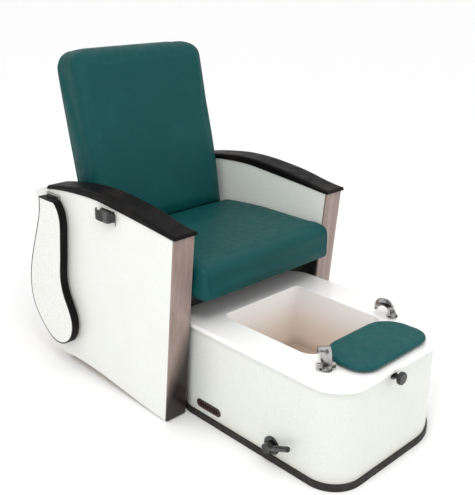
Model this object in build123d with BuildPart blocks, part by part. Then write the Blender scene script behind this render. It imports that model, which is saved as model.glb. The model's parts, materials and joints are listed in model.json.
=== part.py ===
from build123d import *
import os
from math import atan2, cos, degrees, radians, sin

os.makedirs("parts", exist_ok=True)

# Pedicure spa chair, millimetres. +Z up, the sitter faces -Y, +X is the sitter's left.
# Origin: on the floor, on the middle plane, half way between the foremost and rearmost points.
# Heights are measured from the floor and depths from the front foot of the side panels.

# ------------------------------------------------------------------ driving dimensions
# side panels
seat_well = 560.0          # clear width between the two side panels
panel_t = 74.0             # thickness of a built-up side panel
skin_t = 9.0               # laminated skin on each face
frame_w = 42.0             # width of the core frame's members
trim_t = 6.0               # front trim strip
panel_h = 595.0            # top of the front edge
panel_rake = 50.0          # how far the front edge leans forward
panel_depth = 662.0        # rear top corner
foot_h = 4.0               # gap under the front foot
glide_r = 14.0

# arm caps
arm_over = 4.0             # overhang on each face
arm_nose = 13.0            # overhang at the front
arm_end = 582.0            # rear end of the cap
arm_crown = 9.0            # edge rounding

# stowed side trays
tray_t = 25.0
tray_gap = 8.0             # air between tray and panel
tray_edge = 4.5            # edge band
tray_drop_gap = 77.0       # lowest point above the floor
tray_head_gap = 11.0       # top edge below the panel's front height
hinge_leaf_t = 3.0
hinge_r = 4.0
hinge_pin_r = 2.0
hinge_pin_fit = 0.05
hinge_len = 72.0
tray_hinge_y = 506.0       # front end of the tray hinge

# seat
seat_clear = 2.0           # cushion to panel, each side
seat_top = 503.0
seat_bottom = 395.0
seat_front = -92.0
seat_rear = 398.0
seat_nose_r = 30.0
deck_t = 12.0
apron_t = 12.0
apron_y = 44.0
rail_w = 30.0              # square tube
rail_wall = 2.0
rail_plate_t = 5.0
rail_plate_l = 84.0
rail_bolt_r = 4.0
rail_bolt_pitch = 56.0
front_rail_y = 75.0
rear_rail_y = 365.0
low_rail_y = 505.0
low_rail_z = 110.0
rear_panel_y = 560.0
rear_panel_t = 12.0
rear_panel_z = (45.0, 420.0)
service_half = 226.0       # opening at its foot for the hoses
service_top = 132.0

# back
pivot_y = 470.0
pivot_z = 440.0
recline = 12.0             # degrees from the vertical at rest
back_half = 268.0
back_len = 604.0           # pivot to the top, along the back
back_front = -80.0         # front face, across the back
back_rear = 50.0           # rear face of the cover
back_foot = 20.0           # lower edge, along the back
back_corner_r = 62.0
cover_t = 6.0
board_t = 12.0
pocket_rim = 20.0          # foam left round the board
strap_t = 5.0
strap_w = 40.0
tube_r = 14.0
tube_bore_r = 10.0
pin_r = 8.0
pin_fit = 0.05             # radial running clearance
bush_len = 20.0
pivot_plate_t = 4.0
pivot_plate_r = 30.0

# gas spring
spring_y = 112.0
spring_z = 322.0
lever_r = 115.0            # pivot to the spring's rear pin
lever_t = 5.0
lever_gap = 24.0           # between the two cheeks
spring_r = 11.0
rod_r = 5.0
rod_fit = 0.05
spring_body_l = 205.0
eye_r = 16.0
eye_t = 16.0
spring_pin_r = 5.0
open_pin_gap = 4.0         # radial room at the spring's rear pin

# recline paddle
paddle_y = 246.0
paddle_w = 92.0
paddle_z = 574.0
paddle_h = 36.0
paddle_t = 5.0
paddle_gap = 14.0          # finger room behind the paddle

# foot bath
bath_half = 261.0          # shell half width
bath_front = -574.0
bath_rear = 80.0
bath_corner_r = 92.0
bath_far_r = 165.0         # front corner on the left side
bath_top = 308.0
rim_over = 8.0
rim_t = 12.0
rim_round = 5.0
shell_wall = 5.0
ring_h = 21.0
ring_t = 5.0
base_t = 12.0
basin_half = 163.0
basin_front = -395.0
basin_rear = -46.0
basin_floor = 104.0
basin_draft = 14.0         # how much the basin narrows on each side
basin_front_r = 46.0
basin_rear_r = 20.0
basin_wall = 4.0

# footrest
pad_half = 156.0
pad_y = (-562.0, -393.0)
pad_rear_r = 90.0
pad_front_r = 58.0
pad_top = 329.0
pad_t = 15.0
post_x = 48.0
post_y = -520.0
post_r = 8.0
post_len = 150.0
post_fit = 0.06
sleeve_r = 11.0
sleeve_len = 70.0
knob_z = 284.0
knob_r = 18.0
plunger_r = 4.0
plunger_gap = 0.5          # plunger tip to post
knob_reach = 32.0          # knob face ahead of the shell
knob_travel = 8.0

# spouts
spout_len = 66.0
spout_h = 51.0
spout_w = 34.0
spout_foot_w = 22.0
spout_angle = 52.0         # heading of the nose away from the X axis
spout_right_at = (-198.0, -471.0)
spout_left_at = (205.0, -402.0)
tap_r = 3.0
tap_knob_r = 8.0
tap_knob_l = 11.0
tap_height = 13.0
tap_back = 12.0            # spindle ahead of the spout's back

# drain
drain_y = -345.0
drain_z = 52.0
drain_x = -180.0
drain_pipe_r = 20.0
drain_pipe_wall = 3.0
drain_at = (0.0, -220.0)
drain_disc_r = 27.0
lever_len = 96.0
lever_tube_r = 8.0
lever_tilt = 27.0

# vent, pump and supply
vent_y = (-138.0, -34.0)
vent_z = (38.0, 65.0)
vent_bars = 9
pump_r = 34.0
pump_y = (-300.0, -160.0)
pump_z = 150.0
pump_x = -214.0
pipe_r = 8.0
pipe_wall = 1.5
inlet_x = (100.0, 150.0)
inlet_z = 58.0
pipe_run_z = 86.0
pipe_bend = 13.0
inlet_r = 10.5
inlet_in = 20.0          # tail inside the shell

# ------------------------------------------------------------------ derived places
well_half = seat_well / 2
panel_out = well_half + panel_t
knob_front = bath_front - knob_reach
tray_foot_z = tray_drop_gap
tray_head_z = panel_h - tray_head_gap
tray_in = panel_out + tray_gap
tray_out = tray_in + tray_t
deck_z = seat_bottom - deck_t
rail_z = deck_z - rail_w / 2
shell_top = bath_top - rim_t
SIDES = (("right", -1), ("left", 1))

# Tray outline below its straight hinge edge: depth from the panel foot, fraction of the drop.
tray_points = (
    (496, 0.0), (469, 0.075), (470, 0.235), (480, 0.39), (487, 0.48), (480, 0.60), (452, 0.71), (438, 0.80),
    (453, 0.905), (495, 0.98), (555, 1.0), (625, 0.925), (680, 0.777), (684, 0.60), (655, 0.41), (612, 0.215),
    (588, 0.08), (584, 0.0),
)
tray_drop = tray_head_z - tray_foot_z
with BuildSketch() as tray_shape:
    with BuildLine():
        tray_curve = Spline(*[(y, tray_head_z - f * tray_drop) for y, f in tray_points])
        Line(tray_curve @ 1, tray_curve @ 0)
    make_face()
tray_rear = tray_shape.sketch.bounding_box().max.X
foot_y = -(tray_rear + knob_front) / 2


def side_plane(x):
    """Sketch plane at x: depth behind the panel foot, then height. It faces +X."""
    return Plane(origin=(x, foot_y, 0), x_dir=(0, 1, 0), z_dir=(1, 0, 0))


def level_plane(z):
    """Sketch plane at height z: X, then depth behind the panel foot. It faces up."""
    return Plane(origin=(0, foot_y, z), x_dir=(1, 0, 0), z_dir=(0, 0, 1))


def front_plane(y):
    """Sketch plane at depth y: X, then height. It faces the front."""
    return Plane(origin=(0, foot_y + y, 0), x_dir=(1, 0, 0), z_dir=(0, -1, 0))


def back_plane(x):
    """Sketch plane at x in the reclined back: across it rearwards, then up along it."""
    t = radians(recline)
    return Plane(origin=(x, foot_y + pivot_y, pivot_z), x_dir=(0, cos(t), -sin(t)), z_dir=(1, 0, 0))


def back_face(across):
    """Sketch plane parallel to the back's face: X, then up along the back. It faces the front."""
    t = radians(recline)
    origin = (0, foot_y + pivot_y + across * cos(t), pivot_z - across * sin(t))
    return Plane(origin=origin, x_dir=(1, 0, 0), z_dir=(0, -cos(t), sin(t)))


def low_x(sign, near, far):
    """The lower X of a slab that spans near to far from the middle on one side."""
    return min(sign * near, sign * far)


# ------------------------------------------------------------------ side panels
def panel_top_points():
    """Top edge of the panel, front to rear: a long shallow crown that drops to the rear corner."""
    rises = ((67, 12), (211, 25), (310, 32), (400, 29), (563, 11))
    inner = [(y, panel_h + rise) for y, rise in rises]
    return [(-panel_rake, panel_h)] + inner + [(panel_depth, panel_h - 14)]


def panel_outline():
    """Side view of a panel behind its trim strip."""
    front_foot = (trim_t, foot_h)
    rear_foot = (panel_depth - 107, foot_h + 17)
    with BuildSketch() as outline:
        with BuildLine():
            top = Spline(*panel_top_points())
            Spline(top @ 1, (panel_depth - 11, panel_h - 85), (panel_depth - 6, panel_h * 0.55),
                   (panel_depth - 24, panel_h * 0.25), (panel_depth - 68, foot_h + 50), rear_foot)
            Spline(rear_foot, (352, foot_h + 24), (178, foot_h + 10), front_foot)
            Line(front_foot, (-panel_rake, panel_h))
        make_face()
    return outline.sketch


def core_window():
    """Hollow inside the core frame, clear of every edge by about the frame's width."""
    top = panel_h - frame_w
    low = foot_h + frame_w + 24
    rear = panel_depth - frame_w - 20
    slope = panel_rake / panel_h
    with BuildSketch() as window:
        with BuildLine():
            Polyline((frame_w - slope * low, low), (rear - 62, low), (rear - 8, panel_h * 0.3),
                     (rear, panel_h * 0.55), (rear, top - 12), (310, top + 22), (frame_w - slope * top, top),
                     close=True)
        make_face()
    return window.sketch


def rail_bolt_places():
    """Depth and height of every rail bolt."""
    rails = ((front_rail_y, rail_z), (rear_rail_y, rail_z), (low_rail_y, low_rail_z))
    return [(y + step * rail_bolt_pitch / 2, z) for y, z in rails for step in (-1, 1)]


cores = []
for side, sign in SIDES:
    with BuildPart() as outer_skin:
        with BuildSketch(side_plane(low_x(sign, panel_out - skin_t, panel_out))):
            add(panel_outline())
        extrude(amount=skin_t)
    outer_skin.part.label = f"outer_skin_{side}"
    export_step(outer_skin.part, f"parts/outer_skin_{side}.step")

    with BuildPart() as inner_skin:
        with BuildSketch(side_plane(low_x(sign, well_half, well_half + skin_t))):
            add(panel_outline())
            with Locations(*rail_bolt_places()):
                Circle(rail_bolt_r, mode=Mode.SUBTRACT)
        extrude(amount=skin_t)
    inner_skin.part.label = f"inner_skin_{side}"
    export_step(inner_skin.part, f"parts/inner_skin_{side}.step")

    with BuildPart() as core_frame:
        with BuildSketch(side_plane(low_x(sign, well_half + skin_t, panel_out - skin_t))):
            add(panel_outline())
            add(core_window(), mode=Mode.SUBTRACT)
        extrude(amount=panel_t - 2 * skin_t)
    cores.append(core_frame.part)
    core_frame.part.label = f"core_frame_{side}"
    export_step(core_frame.part, f"parts/core_frame_{side}.step")

    with BuildPart() as front_trim:
        with BuildSketch(side_plane(low_x(sign, well_half, panel_out))):
            with BuildLine():
                Polyline((0, foot_h), (trim_t, foot_h), (-panel_rake, panel_h), (-panel_rake - trim_t, panel_h),
                         close=True)
            make_face()
        extrude(amount=panel_t)
        fillet(front_trim.edges().filter_by(lambda e: e.length > panel_h * 0.9).group_by(Axis.Y)[0], 2)
    front_trim.part.label = f"front_trim_{side}"
    export_step(front_trim.part, f"parts/front_trim_{side}.step")

glide_places = (trim_t + glide_r + 4, panel_depth - 107 - glide_r - 4)
with BuildPart() as floor_glides:
    with BuildSketch(level_plane(0)):
        with Locations(*[(sign * (well_half + panel_t / 2), y) for _, sign in SIDES for y in glide_places]):
            Circle(glide_r)
    extrude(amount=foot_h + 19)
    for core in cores:
        add(core, mode=Mode.SUBTRACT)
floor_glides.part.label = "floor_glides"
export_step(floor_glides.part, "parts/floor_glides.step")

# ------------------------------------------------------------------ arm caps
arm_rises = ((-7, 18), (81, 35), (173, 47), (268, 54), (368, 52), (447, 43), (512, 33))
with BuildSketch() as arm_profile:
    with BuildLine():
        front_low = (-panel_rake - arm_nose, panel_h - 1)
        front_top = (-panel_rake - arm_nose + 1, panel_h + 12)
        crown = Spline(front_top, *[(y, panel_h + rise) for y, rise in arm_rises], (arm_end, panel_h + 19))
        Polyline(crown @ 1, (arm_end, panel_h - 30), (0, panel_h - 30), front_low, front_top)
    make_face()
    with BuildLine():
        seat_line = Spline(*panel_top_points())
        Polyline(seat_line @ 1, (panel_depth, 0), (-panel_depth, 0), (-panel_depth, panel_h), seat_line @ 0)
    make_face(mode=Mode.SUBTRACT)

for side, sign in SIDES:
    with BuildPart() as armrest:
        with BuildSketch(side_plane(low_x(sign, well_half - arm_over, panel_out + arm_over))):
            add(arm_profile.sketch)
        extrude(amount=panel_t + 2 * arm_over)
        fillet(armrest.edges().filter_by(GeomType.BSPLINE).group_by(Axis.Z)[-1], arm_crown)
        fillet(armrest.edges().filter_by(Axis.X).group_by(Axis.Y)[-1].sort_by(Axis.Z)[-1], 6)
    armrest.part.label = f"armrest_{side}"
    export_step(armrest.part, f"parts/armrest_{side}.step")

# ------------------------------------------------------------------ stowed side trays
inset_steps = 48
with BuildSketch() as tray_field:
    with BuildLine():
        shares = [n / inset_steps for n in range(inset_steps + 1)]
        field_curve = Spline(*[tray_curve @ t + (tray_curve % t).rotate(Axis.Z, 90) * tray_edge for t in shares])
        Line(field_curve @ 1, field_curve @ 0)
    make_face()
    with Locations((tray_rear, tray_head_z)):
        Rectangle(tray_rear, 2 * tray_edge, mode=Mode.SUBTRACT)
hinge_x = panel_out + hinge_r
hinge_z = tray_head_z + 2 * hinge_r
knuckle = hinge_len / 3
leaf_top = hinge_z - hinge_r - 0.6
leaf_low = tray_head_z - 26
knuckle_play = 0.2


def hinge_half(sign, near, starts):
    """One half of a tray hinge: a plate near the given distance, with knuckles at the given starts."""
    with BuildPart() as half:
        with BuildSketch(side_plane(low_x(sign, near, near + hinge_leaf_t))):
            with Locations((tray_hinge_y + hinge_len / 2, (leaf_top + leaf_low) / 2)):
                Rectangle(hinge_len, leaf_top - leaf_low)
            for start in starts:
                with Locations((tray_hinge_y + start + knuckle / 2, (leaf_low + hinge_z) / 2)):
                    Rectangle(knuckle - 2 * knuckle_play, hinge_z - leaf_low)
        extrude(amount=hinge_leaf_t)
        for start in starts:
            with BuildSketch(front_plane(tray_hinge_y + start + knuckle_play)):
                with Locations((sign * hinge_x, hinge_z)):
                    Circle(hinge_r)
            extrude(amount=-(knuckle - 2 * knuckle_play))
        with BuildSketch(front_plane(tray_hinge_y)):
            with Locations((sign * hinge_x, hinge_z)):
                Circle(hinge_pin_r + hinge_pin_fit)
        extrude(amount=-hinge_len, mode=Mode.SUBTRACT)
    return half.part


for side, sign in SIDES:
    with BuildPart() as tray_top:
        with BuildSketch(side_plane(low_x(sign, tray_in, tray_out))):
            add(tray_field.sketch)
        extrude(amount=tray_t)
    tray_top.part.label = f"tray_top_{side}"
    export_step(tray_top.part, f"parts/tray_top_{side}.step")

    with BuildPart() as tray_band:
        with BuildSketch(side_plane(low_x(sign, tray_in, tray_out))):
            add(tray_shape.sketch)
            add(tray_field.sketch, mode=Mode.SUBTRACT)
        extrude(amount=tray_t)
    tray_band.part.label = f"tray_band_{side}"
    export_step(tray_band.part, f"parts/tray_band_{side}.step")

    with BuildPart() as tray_leaf:
        add(hinge_half(sign, tray_in - hinge_leaf_t, (knuckle,)))
    tray_leaf.part.label = f"tray_hinge_leaf_{side}"
    export_step(tray_leaf.part, f"parts/tray_hinge_leaf_{side}.step")

with BuildPart() as tray_hinge_plates:
    for _, sign in SIDES:
        add(hinge_half(sign, panel_out, (0, 2 * knuckle)))
tray_hinge_plates.part.label = "tray_hinge_plates"
export_step(tray_hinge_plates.part, "parts/tray_hinge_plates.step")

with BuildPart() as tray_hinge_pins:
    with BuildSketch(front_plane(tray_hinge_y)):
        with Locations(*[(sign * hinge_x, hinge_z) for _, sign in SIDES]):
            Circle(hinge_pin_r)
    extrude(amount=-hinge_len)
tray_hinge_pins.part.label = "tray_hinge_pins"
export_step(tray_hinge_pins.part, "parts/tray_hinge_pins.step")

# ------------------------------------------------------------------ rails, deck and boards
rail_half = well_half - rail_plate_t
lug_t = 5.0
lug_gap = eye_t + 2.0


def cross_rail(y, z):
    """Square tube across the seat well with a bolting plate at each end."""
    with BuildPart() as rail:
        with BuildSketch(side_plane(-rail_half)):
            with Locations((y, z)):
                Rectangle(rail_w, rail_w)
                Rectangle(rail_w - 2 * rail_wall, rail_w - 2 * rail_wall, mode=Mode.SUBTRACT)
        extrude(amount=2 * rail_half)
        for start in (-well_half, rail_half):
            with BuildSketch(side_plane(start)):
                with Locations((y, z)):
                    Rectangle(rail_plate_l, rail_w)
                with Locations((y - rail_bolt_pitch / 2, z), (y + rail_bolt_pitch / 2, z)):
                    Circle(rail_bolt_r, mode=Mode.SUBTRACT)
            extrude(amount=rail_plate_t)
    return rail.part


with BuildPart() as cross_rails:
    add(cross_rail(front_rail_y, rail_z))
    add(cross_rail(rear_rail_y, rail_z))
    add(cross_rail(low_rail_y, low_rail_z))
    for start in (-lug_gap / 2 - lug_t, lug_gap / 2):
        with BuildSketch(side_plane(start)):
            with BuildLine():
                Polyline((front_rail_y + rail_w / 2, rail_z + rail_w / 2),
                         (front_rail_y + rail_w / 2, rail_z - rail_w / 2),
                         (spring_y - 12, spring_z - 8), (spring_y + 12, spring_z - 8), (spring_y + 14, spring_z + 14),
                         close=True)
            make_face()
        extrude(amount=lug_t)
    with BuildSketch(side_plane(-lug_gap / 2 - lug_t)):
        with Locations((spring_y, spring_z)):
            Circle(spring_pin_r)
    extrude(amount=lug_gap + 2 * lug_t)
cross_rails.part.label = "cross_rails"
export_step(cross_rails.part, "parts/cross_rails.step")

bolt_head_r = 7.0
bolt_head_t = 5.0
with BuildPart() as rail_bolts:
    for _, sign in SIDES:
        grip = (well_half - rail_plate_t, well_half + skin_t)
        with BuildSketch(side_plane(low_x(sign, *grip))):
            with Locations(*rail_bolt_places()):
                Circle(rail_bolt_r)
        extrude(amount=rail_plate_t + skin_t)
        for start in (grip[0] - bolt_head_t, grip[1]):
            with BuildSketch(side_plane(low_x(sign, start, start + bolt_head_t))):
                with Locations(*rail_bolt_places()):
                    RegularPolygon(bolt_head_r, 6)
            extrude(amount=bolt_head_t)
rail_bolts.part.label = "rail_bolts"
export_step(rail_bolts.part, "parts/rail_bolts.step")

deck_front = seat_front + 70
with BuildPart() as seat_deck:
    with BuildSketch(side_plane(-well_half)):
        with BuildLine():
            Polyline((deck_front, deck_z), (seat_rear - 3, deck_z), (seat_rear - 3, seat_bottom),
                     (deck_front, seat_bottom), close=True)
        make_face()
    extrude(amount=seat_well)
seat_deck.part.label = "seat_deck"
export_step(seat_deck.part, "parts/seat_deck.step")

apron_low = bath_top + 14
with BuildPart() as apron:
    with BuildSketch(front_plane(apron_y)):
        with Locations((0, (apron_low + deck_z) / 2)):
            Rectangle(seat_well - 2 * (rail_plate_t + bolt_head_t + 1), deck_z - apron_low)
    extrude(amount=-apron_t)
apron.part.label = "apron"
export_step(apron.part, "parts/apron.step")

with BuildPart() as rear_panel:
    with BuildSketch(front_plane(rear_panel_y)):
        with Locations((0, sum(rear_panel_z) / 2)):
            Rectangle(seat_well, rear_panel_z[1] - rear_panel_z[0])
        with Locations((0, (rear_panel_z[0] + service_top) / 2)):
            Rectangle(2 * service_half, service_top - rear_panel_z[0], mode=Mode.SUBTRACT)
    extrude(amount=-rear_panel_t)
rear_panel.part.label = "rear_panel"
export_step(rear_panel.part, "parts/rear_panel.step")

with BuildPart() as seat_cushion:
    with BuildSketch(side_plane(-well_half + seat_clear)):
        with BuildLine():
            FilletPolyline((seat_front + 5, seat_bottom), (seat_front, seat_top), (214, seat_top),
                           (seat_rear, seat_top - 16), radius=(seat_nose_r, 40))
            Polyline((seat_rear, seat_top - 16), (seat_rear, seat_bottom), (seat_front + 5, seat_bottom))
        make_face()
    extrude(amount=seat_well - 2 * seat_clear)
seat_cushion.part.label = "seat_cushion"
export_step(seat_cushion.part, "parts/seat_cushion.step")

# ------------------------------------------------------------------ reclining back
tube_half = well_half - 10
board_front = back_rear - cover_t - strap_t - 3 - board_t
strap_front = board_front + board_t
pocket_half = back_half - pocket_rim
pocket_top = back_len - pocket_rim
strap_outer = pocket_half - 6
web_low = -tube_r - 2.0

with BuildPart() as pivot_brackets:
    for _, sign in SIDES:
        with BuildSketch(side_plane(low_x(sign, well_half - pivot_plate_t, well_half))):
            with Locations((pivot_y, pivot_z)):
                Circle(pivot_plate_r)
        extrude(amount=pivot_plate_t)
        with BuildSketch(side_plane(low_x(sign, tube_half - bush_len, well_half))):
            with Locations((pivot_y, pivot_z)):
                Circle(pin_r)
        extrude(amount=well_half - tube_half + bush_len)
pivot_brackets.part.label = "pivot_brackets"
export_step(pivot_brackets.part, "parts/pivot_brackets.step")

with BuildPart() as pivot_bushes:
    for _, sign in SIDES:
        with BuildSketch(side_plane(low_x(sign, tube_half - bush_len, tube_half))):
            with Locations((pivot_y, pivot_z)):
                Circle(tube_bore_r)
                Circle(pin_r + pin_fit, mode=Mode.SUBTRACT)
        extrude(amount=bush_len)
pivot_bushes.part.label = "pivot_bushes"
export_step(pivot_bushes.part, "parts/pivot_bushes.step")

with BuildPart() as torque_tube:
    with BuildSketch(side_plane(-tube_half)):
        with Locations((pivot_y, pivot_z)):
            Circle(tube_r)
            Circle(tube_bore_r, mode=Mode.SUBTRACT)
    extrude(amount=2 * tube_half)
torque_tube.part.label = "torque_tube"
export_step(torque_tube.part, "parts/torque_tube.step")

with BuildPart() as hinge_arms:
    for _, sign in SIDES:
        with BuildSketch(back_plane(low_x(sign, strap_outer - strap_t, strap_outer))):
            with BuildLine():
                Polyline((-tube_r - 4, web_low), (strap_front, web_low), (strap_front + strap_t, web_low + 8),
                         (strap_front + strap_t, back_foot - 2), (-tube_r - 4, back_foot - 2), close=True)
            make_face()
            Circle(tube_r, mode=Mode.SUBTRACT)
        extrude(amount=strap_t)
        with BuildSketch(back_face(strap_front)):
            with Locations((sign * (strap_outer - strap_w / 2), (web_low + 208) / 2)):
                Rectangle(strap_w, 208 - web_low)
        extrude(amount=-strap_t)
hinge_arms.part.label = "hinge_arms"
export_step(hinge_arms.part, "parts/hinge_arms.step")

with BuildPart() as recline_lever:
    for start in (-lever_gap / 2 - lever_t, lever_gap / 2):
        with BuildSketch(side_plane(start)):
            with BuildLine():
                Polyline((pivot_y - 24, pivot_z + 10), (pivot_y - 11, pivot_z - lever_r - 11),
                         (pivot_y + 11, pivot_z - lever_r - 11), (pivot_y + 24, pivot_z + 10),
                         (pivot_y, pivot_z + tube_r + 4), close=True)
            make_face()
            with Locations((pivot_y, pivot_z)):
                Circle(tube_r, mode=Mode.SUBTRACT)
        extrude(amount=lever_t)
    with BuildSketch(side_plane(-lever_gap / 2 - lever_t)):
        with Locations((pivot_y, pivot_z - lever_r)):
            Circle(spring_pin_r)
    extrude(amount=lever_gap + 2 * lever_t)
recline_lever.part.label = "recline_lever"
export_step(recline_lever.part, "parts/recline_lever.step")

with BuildPart() as back_board:
    with BuildSketch(back_face(board_front)):
        with Locations((0, (back_foot + pocket_top) / 2)):
            RectangleRounded(2 * pocket_half, pocket_top - back_foot, back_corner_r - pocket_rim)
    extrude(amount=-board_t)
back_board.part.label = "back_board"
export_step(back_board.part, "parts/back_board.step")

cushion_rear = back_rear - cover_t
with BuildPart() as back_cushion:
    with BuildSketch(back_plane(-back_half)):
        with BuildLine():
            front_line = Spline((back_front + 6, back_foot), (back_front - 5, 140), (back_front, 350),
                                (back_front + 3, back_len - 40))
            crown_line = Spline(front_line @ 1, (back_front + 17, back_len - 7), (-24, back_len),
                                (cushion_rear, back_len - 10))
            Polyline(crown_line @ 1, (cushion_rear, back_foot), front_line @ 0)
        make_face()
    extrude(amount=2 * back_half)
    with BuildSketch(back_face(back_front - 20)):
        with BuildLine():
            FilletPolyline((-back_half, -back_len), (-back_half, back_len), (back_half, back_len),
                           (back_half, -back_len), radius=back_corner_r)
            Line((back_half, -back_len), (-back_half, -back_len))
        make_face()
    extrude(amount=-(back_rear - back_front + 40), mode=Mode.INTERSECT)
    with BuildSketch(back_face(board_front)):
        with BuildLine():
            FilletPolyline((-pocket_half, -back_len), (-pocket_half, pocket_top), (pocket_half, pocket_top),
                           (pocket_half, -back_len), radius=back_corner_r - pocket_rim)
            Line((pocket_half, -back_len), (-pocket_half, -back_len))
        make_face()
    extrude(amount=-(back_rear - board_front), mode=Mode.SUBTRACT)
back_cushion.part.label = "back_cushion"
export_step(back_cushion.part, "parts/back_cushion.step")

cover_inset = 18.0
cover_top = back_len - 10 - cover_inset
with BuildPart() as back_cover:
    with BuildSketch(back_face(cushion_rear)):
        with Locations((0, (back_foot + cover_inset + cover_top) / 2)):
            RectangleRounded(2 * (back_half - cover_inset), cover_top - back_foot - cover_inset,
                             back_corner_r - cover_inset)
    extrude(amount=-cover_t)
back_cover.part.label = "back_cover"
export_step(back_cover.part, "parts/back_cover.step")

# ------------------------------------------------------------------ gas spring
spring_tilt_y = pivot_y - spring_y
spring_tilt_z = pivot_z - lever_r - spring_z
spring_len = (spring_tilt_y ** 2 + spring_tilt_z ** 2) ** 0.5
spring_heading = (0, spring_tilt_y / spring_len, spring_tilt_z / spring_len)
bore_start = 70.0
rod_start = 148.0
spring_neck_r = 6.0
spring_neck_l = 12.0


def spring_plane(x):
    """Sketch plane at x through the gas spring: along it rearwards, then up across it."""
    return Plane(origin=(x, foot_y + spring_y, spring_z), x_dir=spring_heading, z_dir=(1, 0, 0))


def spring_station(along):
    """Sketch plane square to the gas spring at a distance from its front pin."""
    _, run, rise = spring_heading
    origin = (0, foot_y + spring_y + along * run, spring_z + along * rise)
    return Plane(origin=origin, x_dir=(1, 0, 0), z_dir=spring_heading)


with BuildPart() as spring_cylinder:
    with BuildSketch(spring_station(eye_r - 4)):
        Circle(spring_neck_r)
    extrude(amount=spring_neck_l)
    with BuildSketch(spring_station(eye_r - 4 + spring_neck_l)):
        Circle(spring_r)
    extrude(amount=spring_body_l - eye_r + 4 - spring_neck_l)
    with BuildSketch(spring_plane(-eye_t / 2)):
        Circle(eye_r)
    extrude(amount=eye_t)
    with BuildSketch(spring_plane(-eye_t / 2)):
        Circle(spring_pin_r + pin_fit)
    extrude(amount=eye_t, mode=Mode.SUBTRACT)
    with BuildSketch(spring_station(bore_start)):
        Circle(rod_r + rod_fit)
    extrude(amount=spring_body_l - bore_start, mode=Mode.SUBTRACT)
spring_cylinder.part.label = "spring_cylinder"
export_step(spring_cylinder.part, "parts/spring_cylinder.step")

with BuildPart() as spring_rod:
    with BuildSketch(spring_station(rod_start)):
        Circle(rod_r)
    extrude(amount=spring_len - rod_start - spring_pin_r - open_pin_gap - 2)
    with BuildSketch(spring_plane(-eye_t / 2)):
        with Locations((spring_len, 0)):
            Circle(eye_r)
    extrude(amount=eye_t)
    with BuildSketch(spring_plane(-eye_t / 2)):
        with Locations((spring_len, 0)):
            Circle(spring_pin_r + open_pin_gap)
    extrude(amount=eye_t, mode=Mode.SUBTRACT)
spring_rod.part.label = "spring_rod"
export_step(spring_rod.part, "parts/spring_rod.step")

# ------------------------------------------------------------------ recline release
paddle_face = panel_out + paddle_gap
paddle_pin_z = paddle_z + paddle_h - 6
paddle_pin_r = 2.5
paddle_barrel_r = 5.5
paddle_pin_x = panel_out + 8
ear_t = 5.0
barrel_w = paddle_w * 0.5
ear_play = 0.4

with BuildPart() as release_bracket:
    with BuildSketch(side_plane(-panel_out - 2)):
        with Locations((paddle_y, paddle_pin_z - 10)):
            RectangleRounded(barrel_w + 2 * ear_t + 12, 34, 6)
    extrude(amount=2)
    for start in (paddle_y - barrel_w / 2 - ear_t - ear_play, paddle_y + barrel_w / 2 + ear_play):
        with BuildSketch(front_plane(start)):
            with BuildLine():
                Polyline((-panel_out, paddle_pin_z - 9), (-paddle_pin_x, paddle_pin_z - 5),
                         (-paddle_pin_x - 4, paddle_pin_z), (-paddle_pin_x, paddle_pin_z + 5),
                         (-panel_out, paddle_pin_z + 6), close=True)
            make_face()
        extrude(amount=-ear_t)
    with BuildSketch(front_plane(paddle_y - barrel_w / 2 - ear_t - ear_play)):
        with Locations((-paddle_pin_x, paddle_pin_z)):
            Circle(paddle_pin_r)
    extrude(amount=-(barrel_w + 2 * ear_t + 2 * ear_play))
release_bracket.part.label = "release_bracket"
export_step(release_bracket.part, "parts/release_bracket.step")

wave = ((-0.5, -7), (-0.25, 5), (0, 0), (0.25, 5), (0.5, -7))
with BuildPart() as release_paddle:
    with BuildSketch(level_plane(paddle_z)):
        with BuildLine():
            outer = Spline(*[(-paddle_face - paddle_t - rise, paddle_y + share * paddle_w) for share, rise in wave])
            inner = Spline(*[(-paddle_face - rise, paddle_y + share * paddle_w) for share, rise in wave])
            Line(outer @ 0, inner @ 0)
            Line(outer @ 1, inner @ 1)
        make_face()
    extrude(amount=paddle_h)
    with BuildSketch(side_plane(-paddle_face - 3 * paddle_t)):
        with BuildLine():
            low_edge = ThreePointArc((paddle_y - paddle_w / 2, paddle_z + 12), (paddle_y, paddle_z + 2),
                                     (paddle_y + paddle_w / 2, paddle_z + 12))
            Polyline(low_edge @ 1, (paddle_y + paddle_w / 2, paddle_z - 5), (paddle_y - paddle_w / 2, paddle_z - 5),
                     low_edge @ 0)
        make_face()
    extrude(amount=4 * paddle_t, mode=Mode.SUBTRACT)
    with BuildSketch(front_plane(paddle_y - barrel_w / 2)):
        with Locations((-paddle_pin_x, paddle_pin_z)):
            Circle(paddle_barrel_r)
        with Locations((-(paddle_pin_x + paddle_face + 2) / 2, paddle_pin_z)):
            Rectangle(paddle_face + 2 - paddle_pin_x, paddle_barrel_r)
    extrude(amount=-barrel_w)
    with BuildSketch(front_plane(paddle_y - barrel_w / 2)):
        with Locations((-paddle_pin_x, paddle_pin_z)):
            Circle(paddle_pin_r + pin_fit)
    extrude(amount=-barrel_w, mode=Mode.SUBTRACT)
release_paddle.part.label = "release_paddle"
export_step(release_paddle.part, "parts/release_paddle.step")

# ------------------------------------------------------------------ foot bath
bath_len = bath_rear - bath_front
bath_mid = (bath_front + bath_rear) / 2
basin_len = basin_rear - basin_front
basin_mid = (basin_front + basin_rear) / 2


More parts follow.
